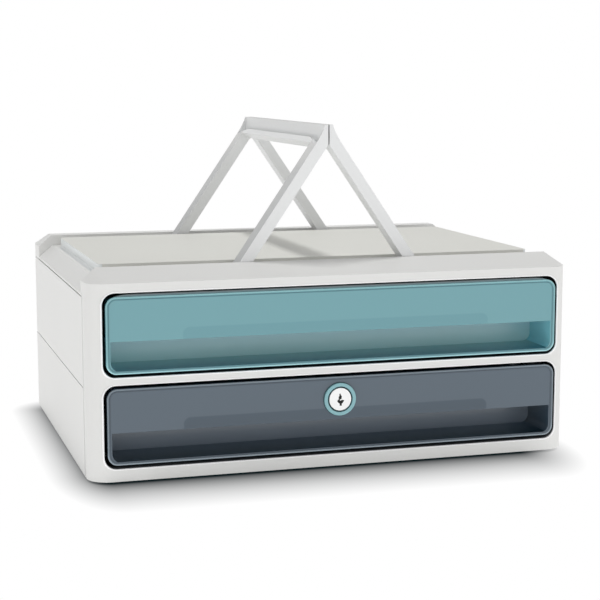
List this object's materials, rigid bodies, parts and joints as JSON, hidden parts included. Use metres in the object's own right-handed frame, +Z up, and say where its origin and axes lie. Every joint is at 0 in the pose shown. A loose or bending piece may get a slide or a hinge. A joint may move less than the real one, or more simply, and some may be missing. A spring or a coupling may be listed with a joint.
{
  "type": "desktop file drawer",
  "caption": "Desktop file unit with tinted sliding drawers, a cam lock and a pair of folding bails that meet as one carrying handle.",
  "frame": {"origin": "on the floor under the middle of the whole outline, feet at z 0", "axes": "+X to the right seen from the front, +Y to the back, +Z up; the drawers pull out towards -Y"},
  "size_m": [0.37, 0.2898, 0.252],
  "materials": {
    "white_plastic": "satin",
    "deck_plastic": "matt",
    "teal_plastic": "tinted gloss",
    "slate_plastic": "tinted gloss",
    "lock_teal": "satin",
    "plug_white": "gloss",
    "steel": "satin",
    "rubber": "matt"
  },
  "bodies": {
    "casing": {"front_frame": "white_plastic", "lower_case": "white_plastic", "upper_case": "white_plastic", "middle_shelf": "white_plastic", "top_cover": "white_plastic", "rear_rim": "white_plastic", "top_deck": "deck_plastic", "foot_front_left": "rubber", "foot_front_right": "rubber", "foot_back_left": "rubber", "foot_back_right": "rubber", "runner_upper_left": "white_plastic", "runner_upper_right": "white_plastic", "runner_lower_left": "white_plastic", "runner_lower_right": "white_plastic", "hinge_pin_front_left": "steel", "hinge_pin_front_right": "steel", "hinge_pin_back_left": "steel", "hinge_pin_back_right": "steel"},
    "upper_drawer": {"upper_tray": "teal_plastic", "upper_front": "teal_plastic", "upper_screw_left": "steel", "upper_screw_right": "steel"},
    "lower_drawer": {"lower_tray": "slate_plastic", "lower_front": "slate_plastic", "lower_screw_left": "steel", "lower_screw_right": "steel", "lock_ring": "lock_teal", "lock_body": "steel", "lock_nut": "steel"},
    "lock_turn": {"lock_plug": "plug_white", "lock_cam": "steel", "cam_screw": "steel"},
    "left_bail": {"left_handle": "white_plastic"},
    "right_bail": {"right_handle": "white_plastic"}
  },
  "joints": [
    {"name": "upper_drawer_slide", "type": "slide", "parent": "casing", "child": "upper_drawer", "axis": [0, -1, 0], "range_m": [0, 0.19]},
    {"name": "lower_drawer_slide", "type": "slide", "parent": "casing", "child": "lower_drawer", "axis": [0, -1, 0], "range_m": [0, 0.19]},
    {"name": "lock_turn_hinge", "type": "hinge", "parent": "lower_drawer", "child": "lock_turn", "pos_m": [0, -0.1447, 0.0525], "axis": [0, -1, 0], "range_deg": [0, 90]},
    {"name": "left_bail_hinge", "type": "hinge", "parent": "casing", "child": "left_bail", "pos_m": [-0.06649, -0.00055, 0.1487], "axis": [0, -1, 0], "range_deg": [0, 124.4]},
    {"name": "right_bail_hinge", "type": "hinge", "parent": "casing", "child": "right_bail", "pos_m": [0.06649, -0.00055, 0.1487], "axis": [0, 1, 0], "range_deg": [0, 124.4]}
  ]
}
